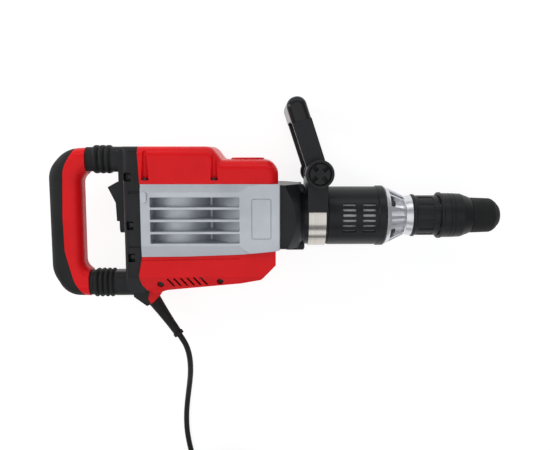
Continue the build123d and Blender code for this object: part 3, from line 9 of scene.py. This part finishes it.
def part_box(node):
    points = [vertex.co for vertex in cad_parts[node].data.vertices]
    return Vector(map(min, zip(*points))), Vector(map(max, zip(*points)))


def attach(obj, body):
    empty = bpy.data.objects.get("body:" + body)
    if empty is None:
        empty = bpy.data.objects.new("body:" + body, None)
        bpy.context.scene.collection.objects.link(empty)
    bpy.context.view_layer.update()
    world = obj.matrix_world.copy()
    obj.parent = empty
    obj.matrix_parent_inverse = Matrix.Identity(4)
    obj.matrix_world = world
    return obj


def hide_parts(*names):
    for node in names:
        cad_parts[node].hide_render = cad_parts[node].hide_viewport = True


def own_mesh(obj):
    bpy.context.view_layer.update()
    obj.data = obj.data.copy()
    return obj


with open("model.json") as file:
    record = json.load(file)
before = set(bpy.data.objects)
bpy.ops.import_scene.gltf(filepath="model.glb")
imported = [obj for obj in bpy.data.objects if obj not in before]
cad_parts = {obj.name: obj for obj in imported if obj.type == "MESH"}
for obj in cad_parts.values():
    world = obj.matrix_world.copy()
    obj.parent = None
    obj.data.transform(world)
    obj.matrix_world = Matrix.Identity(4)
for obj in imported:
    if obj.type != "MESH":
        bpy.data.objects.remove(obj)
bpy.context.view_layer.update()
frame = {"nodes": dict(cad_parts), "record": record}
NODES = frame["nodes"]
CASING = "tool_casing"
FLOOR_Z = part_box("main_housing")[0].z
Y_AXIS = Vector((0, 1, 0))


# ---------------------------------------------------------------- camera, light and floor
def add_camera():
    target = Vector((-0.2993, -0.0130, 0.0))
    distance = 0.82
    tilt = math.radians(7.0)
    swing = math.radians(-1.0)
    width_in_view = 0.7390
    back = Vector((math.sin(swing) * math.cos(tilt), math.sin(tilt), math.cos(swing) * math.cos(tilt)))
    data = bpy.data.cameras.new("camera")
    data.sensor_width = 36.0
    data.lens = data.sensor_width * distance / width_in_view
    data.clip_start = 0.01
    data.clip_end = 20.0
    camera = bpy.data.objects.new("camera", data)
    bpy.context.scene.collection.objects.link(camera)
    right = (-back).cross(Y_AXIS).normalized()
    up = right.cross(-back)
    turn = Matrix((right, up, back)).transposed()
    camera.matrix_world = Matrix.Translation(target + back * distance) @ turn.to_4x4()
    bpy.context.scene.camera = camera


def add_area_light(name, place, aim, size, power):
    data = bpy.data.lights.new(name, "AREA")
    data.shape = "RECTANGLE"
    data.size, data.size_y = size
    data.energy = power
    lamp = bpy.data.objects.new(name, data)
    lamp.location = place
    lamp.rotation_mode = "QUATERNION"
    lamp.rotation_quaternion = (Vector(aim) - Vector(place)).to_track_quat("-Z", "Y")
    bpy.context.scene.collection.objects.link(lamp)


def add_studio():
    scene = bpy.context.scene
    scene.view_settings.view_transform = "Standard"
    world = bpy.data.worlds.new("studio")
    world.use_nodes = True
    backdrop = world.node_tree.nodes["Background"].inputs
    backdrop["Color"].default_value = (0.94, 0.96, 1.0, 1)
    backdrop["Strength"].default_value = 0.28
    scene.world = world
    middle = (-0.3, 0.0, 0.0)
    add_area_light("overhead", (-0.30, -0.15, 1.20), middle, (1.7, 1.1), 4.9)
    add_area_light("far_side", (-0.30, 1.00, 0.55), middle, (1.6, 0.45), 3.8)
    add_area_light("near_side", (-0.30, -1.05, 0.55), middle, (1.6, 0.45), 2.0)
    add_area_light("rear_side", (-1.15, 0.30, 0.30), middle, (0.16, 0.9), 2.6)
    half = 6.0
    gap_below = 0.0004
    corners = [(-half, -half, 0), (half, -half, 0), (half, half, 0), (-half, half, 0)]
    data = bpy.data.meshes.new("floor")
    data.from_pydata(corners, [], [(0, 1, 2, 3)])
    floor = bpy.data.objects.new("floor", data)
    floor.location.z = FLOOR_Z - gap_below
    scene.collection.objects.link(floor)
    material, shader, _, _ = new_material("studio_floor", (0.26, 0.26, 0.26), 0.9)
    shader.inputs["Emission Color"].default_value = (1.0, 1.0, 1.0, 1)
    shader.inputs["Emission Strength"].default_value = 0.85
    data.materials.append(material)


# ---------------------------------------------------------------- material building blocks
SURFACE_IOR = 1.36
COAT_ROUGHNESS = 0.22


def new_material(name, colour, roughness, metallic=0.0):
    material = bpy.data.materials.new(name)
    material.use_nodes = True
    nodes = material.node_tree.nodes
    links = material.node_tree.links
    shader = nodes["Principled BSDF"]
    shader.inputs["Base Color"].default_value = (*colour, 1)
    shader.inputs["Roughness"].default_value = roughness
    shader.inputs["Metallic"].default_value = metallic
    return material, shader, nodes, links


def noise(nodes, links, scale, detail=3.0, stretch=(1, 1, 1), distortion=0.0):
    """A noise texture over the object's own coordinates, stretched along an axis if asked."""
    place = nodes.new("ShaderNodeTexCoord")
    mapping = nodes.new("ShaderNodeMapping")
    mapping.inputs["Scale"].default_value = stretch
    texture = nodes.new("ShaderNodeTexNoise")
    texture.inputs["Scale"].default_value = scale
    texture.inputs["Detail"].default_value = detail
    texture.inputs["Distortion"].default_value = distortion
    links.new(place.outputs["Object"], mapping.inputs["Vector"])
    links.new(mapping.outputs["Vector"], texture.inputs["Vector"])
    return texture.outputs["Fac"]


def spread(nodes, links, value, low, high, start=0.3, end=0.7):
    """value, from start to end, carried over to low to high."""
    node = nodes.new("ShaderNodeMapRange")
    node.inputs["From Min"].default_value = start
    node.inputs["From Max"].default_value = end
    node.inputs["To Min"].default_value = low
    node.inputs["To Max"].default_value = high
    links.new(value, node.inputs["Value"])
    return node.outputs["Result"]


def tint(nodes, links, value, first, second, start=0.3, end=0.7):
    """value, from start to end, carried over to a blend of two colours."""
    ramp = nodes.new("ShaderNodeValToRGB")
    ramp.color_ramp.elements[0].position = start
    ramp.color_ramp.elements[0].color = (*first, 1)
    ramp.color_ramp.elements[1].position = end
    ramp.color_ramp.elements[1].color = (*second, 1)
    links.new(value, ramp.inputs["Fac"])
    return ramp.outputs["Color"]


def relief(nodes, links, shader, layers, edge=0.0):
    """Bump layers of (height value, strength, distance), over rounded edges."""
    normal = None
    if edge:
        bevel = nodes.new("ShaderNodeBevel")
        bevel.samples = 4
        bevel.inputs["Radius"].default_value = edge
        normal = bevel.outputs["Normal"]
    for value, strength, distance in layers:
        bump = nodes.new("ShaderNodeBump")
        bump.inputs["Strength"].default_value = strength
        bump.inputs["Distance"].default_value = distance
        links.new(value, bump.inputs["Height"])
        if normal:
            links.new(normal, bump.inputs["Normal"])
        normal = bump.outputs["Normal"]
    links.new(normal, shader.inputs["Normal"])


def moulded(name, dark, light, rough_low, rough_high, grain_scale, grain, edge, coat=0.0, specular=0.5):
    """Moulded plastic or rubber: slight shade and gloss changes, and a fine grain."""
    material, shader, nodes, links = new_material(name, light, rough_high)
    shade = noise(nodes, links, scale=24.0, detail=4.0)
    links.new(tint(nodes, links, shade, dark, light), shader.inputs["Base Color"])
    handled = noise(nodes, links, scale=60.0, detail=5.0, distortion=0.6)
    links.new(spread(nodes, links, handled, rough_low, rough_high), shader.inputs["Roughness"])
    shader.inputs["Coat Weight"].default_value = coat
    shader.inputs["Coat Roughness"].default_value = COAT_ROUGHNESS
    shader.inputs["IOR"].default_value = SURFACE_IOR
    shader.inputs["Specular IOR Level"].default_value = specular
    fine = noise(nodes, links, scale=grain_scale, detail=2.0)
    broad = noise(nodes, links, scale=90.0, detail=2.0)
    relief(nodes, links, shader, [(broad, 0.05, 0.0006), (fine, grain, 0.0003)], edge)
    return material


def cast_metal(name, dark, light, rough_low, rough_high, metallic, grain, edge, specular=0.5):
    """Cast or painted metal with a sandy skin and faint stains."""
    material, shader, nodes, links = new_material(name, light, rough_high, metallic)
    shader.inputs["Specular IOR Level"].default_value = specular
    shader.inputs["IOR"].default_value = SURFACE_IOR
    stains = noise(nodes, links, scale=18.0, detail=6.0, distortion=0.4)
    links.new(tint(nodes, links, stains, dark, light), shader.inputs["Base Color"])
    patches = noise(nodes, links, scale=75.0, detail=4.0)
    links.new(spread(nodes, links, patches, rough_low, rough_high), shader.inputs["Roughness"])
    sand = noise(nodes, links, scale=1600.0, detail=2.0)
    waves = noise(nodes, links, scale=120.0, detail=2.0)
    relief(nodes, links, shader, [(waves, 0.05, 0.0006), (sand, grain, 0.0003)], edge)
    return material


def brushed(name, dark, light, rough_low, rough_high, stretch, edge, scratch=0.12):
    """Ground or brushed steel: fine lines along one axis."""
    material, shader, nodes, links = new_material(name, light, rough_high, 1.0)
    lines = noise(nodes, links, scale=260.0, detail=3.0, stretch=stretch)
    links.new(tint(nodes, links, lines, dark, light, 0.35, 0.65), shader.inputs["Base Color"])
    links.new(spread(nodes, links, lines, rough_low, rough_high), shader.inputs["Roughness"])
    relief(nodes, links, shader, [(lines, scratch, 0.0002)], edge)
    return material


def laminated(name, dark, light):
    """Stacked sheet steel: thin dark and light layers along Y."""
    material, shader, nodes, links = new_material(name, light, 0.5, 0.8)
    place = nodes.new("ShaderNodeTexCoord")
    wave = nodes.new("ShaderNodeTexWave")
    wave.bands_direction = "Y"
    wave.inputs["Scale"].default_value = 320.0
    links.new(place.outputs["Object"], wave.inputs["Vector"])
    links.new(tint(nodes, links, wave.outputs["Fac"], dark, light, 0.2, 0.8), shader.inputs["Base Color"])
    relief(nodes, links, shader, [(wave.outputs["Fac"], 0.3, 0.0002)])
    return material


def wound_copper(name):
    """Enamelled wire: fine threads with a warm gloss."""
    material, shader, nodes, links = new_material(name, (0.55, 0.2, 0.07), 0.3, 0.9)
    threads = noise(nodes, links, scale=500.0, detail=1.0, stretch=(1, 0.12, 1), distortion=0.5)
    links.new(tint(nodes, links, threads, (0.28, 0.08, 0.03), (0.7, 0.28, 0.12)), shader.inputs["Base Color"])
    relief(nodes, links, shader, [(threads, 0.6, 0.0004)])
    return material


RECIPES = {
    "red_plastic": (moulded, dict(
        dark=(0.74, 0.0060, 0.0095), light=(0.84, 0.0080, 0.0125), rough_low=0.30,
        rough_high=0.40, grain_scale=1500.0, grain=0.10, edge=0.0008, coat=0.04,
        specular=0.26,
    )),
    "black_plastic": (moulded, dict(
        dark=(0.0145, 0.0150, 0.0160), light=(0.0215, 0.0222, 0.0238), rough_low=0.34,
        rough_high=0.44, grain_scale=2200.0, grain=0.28, edge=0.0007, coat=0.0,
        specular=0.34,
    )),
    "black_rubber": (moulded, dict(
        dark=(0.0145, 0.0148, 0.0148), light=(0.0220, 0.0224, 0.0222), rough_low=0.55,
        rough_high=0.72, grain_scale=1300.0, grain=0.4, edge=0.0006, coat=0.0,
        specular=0.32,
    )),
    "cord_rubber": (moulded, dict(
        dark=(0.0085, 0.0085, 0.0092), light=(0.0145, 0.0145, 0.0152), rough_low=0.48,
        rough_high=0.60, grain_scale=900.0, grain=0.25, edge=0.0, coat=0.0, specular=0.4,
    )),
    "silver_casting": (cast_metal, dict(
        dark=(0.50, 0.525, 0.57), light=(0.58, 0.605, 0.65), rough_low=0.38,
        rough_high=0.48, metallic=0.45, grain=0.16, edge=0.0007,
    )),
    # Barrel housing under the cover's slots: its near-white colour is painted light that lifts metal lying in
    # the slots' shade; the lower metallic and the roughness are its finish.
    "pale_alloy_painted_light": (cast_metal, dict(
        dark=(0.88, 0.88, 0.89), light=(0.95, 0.95, 0.96), rough_low=0.40, rough_high=0.50,
        metallic=0.15, grain=0.10, edge=0.0005,
    )),
    "bright_alloy": (cast_metal, dict(
        dark=(0.62, 0.63, 0.66), light=(0.74, 0.75, 0.78), rough_low=0.24, rough_high=0.34,
        metallic=0.85, grain=0.10, edge=0.0005,
    )),
    "glossy_black": (moulded, dict(
        dark=(0.0110, 0.0113, 0.0121), light=(0.0160, 0.0165, 0.0177), rough_low=0.20,
        rough_high=0.28, grain_scale=1800.0, grain=0.10, edge=0.0007, coat=0.0,
        specular=0.45,
    )),
    "black_casting": (cast_metal, dict(
        dark=(0.0135, 0.0140, 0.0155), light=(0.0200, 0.0208, 0.0230), rough_low=0.30,
        rough_high=0.38, metallic=0.0, grain=0.12, edge=0.0007, specular=0.32,
    )),
    "band_steel": (brushed, dict(
        dark=(0.55, 0.52, 0.48), light=(0.60, 0.57, 0.53), rough_low=0.17, rough_high=0.21,
        stretch=(1.0, 0.02, 0.02), edge=0.0003, scratch=0.02,
    )),
    "tool_steel": (brushed, dict(
        dark=(0.42, 0.42, 0.42), light=(0.62, 0.62, 0.61), rough_low=0.22, rough_high=0.35,
        stretch=(1.0, 0.08, 0.08), edge=0.0003,
    )),
    "spring_steel": (brushed, dict(
        dark=(0.30, 0.30, 0.31), light=(0.48, 0.48, 0.49), rough_low=0.25, rough_high=0.4,
        stretch=(1.0, 1.0, 1.0), edge=0.0,
    )),
    "screw_steel": (cast_metal, dict(
        dark=(0.030, 0.030, 0.031), light=(0.060, 0.060, 0.060), rough_low=0.3,
        rough_high=0.45, metallic=0.9, grain=0.15, edge=0.0003,
    )),
    "core_steel": (laminated, dict(
        dark=(0.10, 0.10, 0.105), light=(0.24, 0.24, 0.25),
    )),
    "copper": (wound_copper, {}),
    "carbon": (moulded, dict(
        dark=(0.02, 0.02, 0.02), light=(0.04, 0.04, 0.04), rough_low=0.4, rough_high=0.6,
        grain_scale=900.0, grain=0.4, edge=0.0,
    )),
    "plated_brass": (cast_metal, dict(
        dark=(0.60, 0.59, 0.55), light=(0.75, 0.73, 0.68), rough_low=0.18, rough_high=0.28,
        metallic=1.0, grain=0.05, edge=0.0003,
    )),
}
MATERIALS = {name: make(name, **settings) for name, (make, settings) in RECIPES.items()}

# Nodes whose finish differs from the rest of their material slot. The barrel housing's near-white colour is
# painted light: it brightens metal that lies in the shade of the cover's slots.
OWN_LOOKS = {"barrel_housing": "pale_alloy_painted_light", "nose_cone": "bright_alloy", "side_handle_grip": "glossy_black"}


def paint_cad_nodes():
    slots = {part["node"]: part["material_slot"] for part in frame["record"]["subparts"]}
    for node, obj in NODES.items():
        obj.data.materials.clear()
        obj.data.materials.append(MATERIALS[OWN_LOOKS.get(node, slots[node])])


# ---------------------------------------------------------------- mesh building blocks
def add_piece(name, points, faces, slot, body, smooth=True):
    data = bpy.data.meshes.new(name)
    data.from_pydata([tuple(point) for point in points], [], faces)
    data.materials.append(MATERIALS[slot])
    if smooth:
        data.shade_smooth()
    piece = bpy.data.objects.new(name, data)
    bpy.context.scene.collection.objects.link(piece)
    if body:
        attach(piece, body)
    return piece


def skin(rings, closed_path=False, capped=True):
    """Faces over rings of equal count, each ring joined to the next, with caps at the two ends."""
    count = len(rings[0])
    points = [point for ring in rings for point in ring]
    faces = []
    for index in range(len(rings) if closed_path else len(rings) - 1):
        here = index * count
        there = (index + 1) % len(rings) * count
        for step in range(count):
            after = (step + 1) % count
            faces.append((here + step, here + after, there + after, there + step))
    if capped and not closed_path:
        faces.append(tuple(reversed(range(count))))
        last = (len(rings) - 1) * count
        faces.append(tuple(range(last, last + count)))
    return points, faces


def rounded_rectangle(half_u, half_v, corner, per_corner=8):
    """(u, v) points round a rounded rectangle."""
    points = []
    for quarter in range(4):
        side_u = 1 if quarter in (0, 3) else -1
        side_v = 1 if quarter in (0, 1) else -1
        for step in range(per_corner + 1):
            angle = math.radians(90 * quarter + 90 * step / per_corner)
            u = side_u * (half_u - corner) + corner * math.cos(angle)
            v = side_v * (half_v - corner) + corner * math.sin(angle)
            points.append((u, v))
    return points


def pipe(points, radius, sides=16):
    """Faces of a round pipe that follows points."""
    rings = []
    normal = None
    for index, point in enumerate(points):
        before = points[max(index - 1, 0)]
        after = points[min(index + 1, len(points) - 1)]
        along = (after - before).normalized()
        if normal is None:
            normal = along.orthogonal().normalized()
        normal = (normal - along * normal.dot(along)).normalized()
        across = along.cross(normal)
        ring = []
        for side in range(sides):
            angle = 2 * math.pi * side / sides
            ring.append(point + (normal * math.cos(angle) + across * math.sin(angle)) * radius)
        rings.append(ring)
    return skin(rings)


# ---------------------------------------------------------------- cord, coil, tie
CORD_DIAMETER = 0.0078
CORD_Z = FLOOR_Z + CORD_DIAMETER / 2
COIL_CENTRE = Vector((-0.362, -0.424, 0))
COIL_COLUMNS = (0.055, 0.047, 0.039)
COIL_LAYERS = 4
COIL_LAYER_PITCH = 0.0079
COIL_POINTS_PER_TURN = 24
COIL_START = 180.0
COIL_END = 255.0
STEP_OVER_SHARE = 0.2
STRAP_THICKNESS = 0.0012
STRAP_CORNER = 0.007
STRAP_INNER_CORNER = 0.006
FREE_ROUTE = [
    (-0.4303, -0.1636, 0),
    (-0.4233, -0.1740, 0),
    (-0.4189, -0.1868, -0.0022),
    (-0.4173, -0.2017, -0.008),
    (-0.4179, -0.2197, -0.018),
    (-0.4205, -0.2390, -0.0305),
    (-0.4240, -0.2590, -0.042),
    (-0.4275, -0.2800, -0.051),
    (-0.4300, -0.3020, -0.0556),
    (-0.4300, -0.3260, -0.0561),
    (-0.4265, -0.3500, -0.0561),
    (-0.4210, -0.3730, -0.0561),
    (-0.4174, -0.3940, -0.0561),
    (-0.4168, -0.4110, -0.0561),
]
PLUG_ROUTE = [
    (-0.373, -0.477, -0.033),
    (-0.356, -0.4815, -0.0355),
    (-0.338, -0.485, -0.043),
    (-0.321, -0.486, -0.052),
    (-0.304, -0.485, -0.0561),
    (-0.287, -0.482, -0.053),
    (-0.271, -0.480, -0.0478),
    (-0.256, -0.480, -0.047),
]


def coil_points():
    """Turn by turn, in and out through the columns, one layer above the other.

    The last STEP_OVER_SHARE of each turn eases over to the next column or layer.
    """
    order = []
    for layer in range(COIL_LAYERS):
        columns = COIL_COLUMNS if layer % 2 == 0 else tuple(reversed(COIL_COLUMNS))
        order += [(radius, CORD_Z + layer * COIL_LAYER_PITCH) for radius in columns]
    order.append(order[-1])
    total = (len(order) - 1) * 360 + COIL_END - COIL_START
    steps = round(total / 360 * COIL_POINTS_PER_TURN)
    points = []
    for step in range(1, steps + 1):
        swept = total * step / steps
        turn = int(swept // 360)
        share = swept / 360 - turn
        ease = min(max((share - (1 - STEP_OVER_SHARE)) / STEP_OVER_SHARE, 0.0), 1.0)
        ease = ease * ease * (3 - 2 * ease)
        here = order[min(turn, len(order) - 1)]
        there = order[min(turn + 1, len(order) - 1)]
        radius = here[0] + (there[0] - here[0]) * ease
        height = here[1] + (there[1] - here[1]) * ease
        angle = math.radians(COIL_START + swept)
        points.append(COIL_CENTRE + Vector((radius * math.cos(angle), radius * math.sin(angle), height)))
    return points


def add_cord():
    to_coil = [Vector(point) for point in FREE_ROUTE]
    to_plug = [Vector(point) for point in PLUG_ROUTE[1:]]
    route = to_coil + coil_points() + to_plug
    data = bpy.data.curves.new("mains_cord", "CURVE")
    data.dimensions = "3D"
    data.bevel_depth = CORD_DIAMETER / 2
    data.bevel_resolution = 5
    data.resolution_u = 6
    data.use_fill_caps = True
    spline = data.splines.new("NURBS")
    spline.points.add(len(route) - 1)
    for point, place in zip(spline.points, route):
        point.co = (*place, 1)
    # Both are set once the points are in.
    spline.order_u = 3
    spline.use_endpoint_u = True
    data.materials.append(MATERIALS["cord_rubber"])
    cord = bpy.data.objects.new("mains_cord", data)
    bpy.context.scene.collection.objects.link(cord)
    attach(cord, CASING)
    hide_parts("cord", "cord_coil")
    return cord


def add_tie():
    """A strap round the coil, as one closed loop."""
    low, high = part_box("cord_tie")
    middle = (low + high) / 2
    half_x = (high.x - low.x) / 2
    half_z = (high.z - low.z) / 2
    outline = rounded_rectangle(half_x, half_z, STRAP_CORNER)
    inner = rounded_rectangle(half_x - STRAP_THICKNESS, half_z - STRAP_THICKNESS, STRAP_INNER_CORNER)
    rings = []
    for (u, v), (inner_u, inner_v) in zip(outline, inner):
        rings.append([
            Vector((middle.x + u, low.y, middle.z + v)),
            Vector((middle.x + u, high.y, middle.z + v)),
            Vector((middle.x + inner_u, high.y, middle.z + inner_v)),
            Vector((middle.x + inner_u, low.y, middle.z + inner_v)),
        ])
    points, faces = skin(rings, closed_path=True)
    tie = add_piece("coil_strap", points, faces, "cord_rubber", CASING, smooth=False)
    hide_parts("cord_tie")
    return tie


# ---------------------------------------------------------------- bellows and springs
BELLOWS_REACH_Y = 0.0186
bellows_low, bellows_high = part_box("handle_bellows")
HANDLE_ARMS_Y = (bellows_high.y - BELLOWS_REACH_Y, bellows_low.y + BELLOWS_REACH_Y)
DAMPER_SPRING = {"radius": 0.009, "wire": 0.0011, "turns": 6}
SLEEVE_SPRING = {"radius": 0.0226, "wire": 0.001, "turns": 5}
SPRING_POINTS_PER_TURN = 20
SPRING_SIDES = 10


def add_bellows(name, centre_y, cuff, folds):
    """A smooth cuff at the handle's end, then rounded folds with narrow grooves."""
    low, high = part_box("handle_bellows")
    neck = 0.0015
    rise = 0.0044
    wall = 0.0026
    corner = 0.0105
    inner_corner = 0.008
    half_y, half_z = BELLOWS_REACH_Y - rise, (high.z - low.z) / 2 - rise
    stations = 120
    outer = []
    inner = []
    for index in range(stations + 1):
        x = low.x + (high.x - low.x) * index / stations
        inside = (x - low.x - cuff) / (high.x - low.x - cuff - neck)
        fold = abs(math.sin(math.pi * folds * inside)) ** 0.5 if 0 < inside < 1 else 0.4
        grow = rise * fold
        section = rounded_rectangle(half_y + grow, half_z + grow, corner + grow)
        outer.append([Vector((x, centre_y + u, v)) for u, v in section])
        section = rounded_rectangle(half_y - wall + grow, half_z - wall + grow, inner_corner)
        inner.append([Vector((x, centre_y + u, v)) for u, v in section])
    points, faces = skin(outer + inner[::-1], closed_path=True)
    piece = add_piece(name, points, faces, "black_rubber", CASING)
    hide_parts("handle_bellows")
    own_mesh(piece)


def helix_pipe(rear, front, radius, wire, turns, centre_y):
    """A compression spring along X with its end turns closed up."""
    points = []
    steps = turns * SPRING_POINTS_PER_TURN
    for step in range(steps + 1):
        share = step / steps
        even = 0.5 - math.cos(math.pi * share) / 2
        along = share * 0.5 + even * 0.5
        angle = 2 * math.pi * turns * share
        x = rear + wire + (front - rear - 2 * wire) * along
        points.append(Vector((x, centre_y + radius * math.cos(angle), radius * math.sin(angle))))
    return pipe(points, wire, SPRING_SIDES)


def add_springs():
    low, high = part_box("damper_springs")
    for name, y in (("damper_spring_top", HANDLE_ARMS_Y[0]), ("damper_spring_bottom", HANDLE_ARMS_Y[1])):
        points, faces = helix_pipe(low.x, high.x, centre_y=y, **DAMPER_SPRING)
        spring = add_piece(name, points, faces, "spring_steel", CASING)
        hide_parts("damper_springs")
        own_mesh(spring)
    low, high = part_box("sleeve_spring")
    points, faces = helix_pipe(low.x, high.x, centre_y=0.0, **SLEEVE_SPRING)
    spring = add_piece("sleeve_return_spring", points, faces, "spring_steel", "chisel_holder")
    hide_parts("sleeve_spring")
    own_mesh(spring)


# ---------------------------------------------------------------- the whole scene
add_camera()
add_studio()
paint_cad_nodes()
cord = add_cord()
tie = add_tie()
add_bellows("bellows_top", HANDLE_ARMS_Y[0], cuff=0.0085, folds=3)
add_bellows("bellows_bottom", HANDLE_ARMS_Y[1], cuff=0.0050, folds=4)
add_springs()
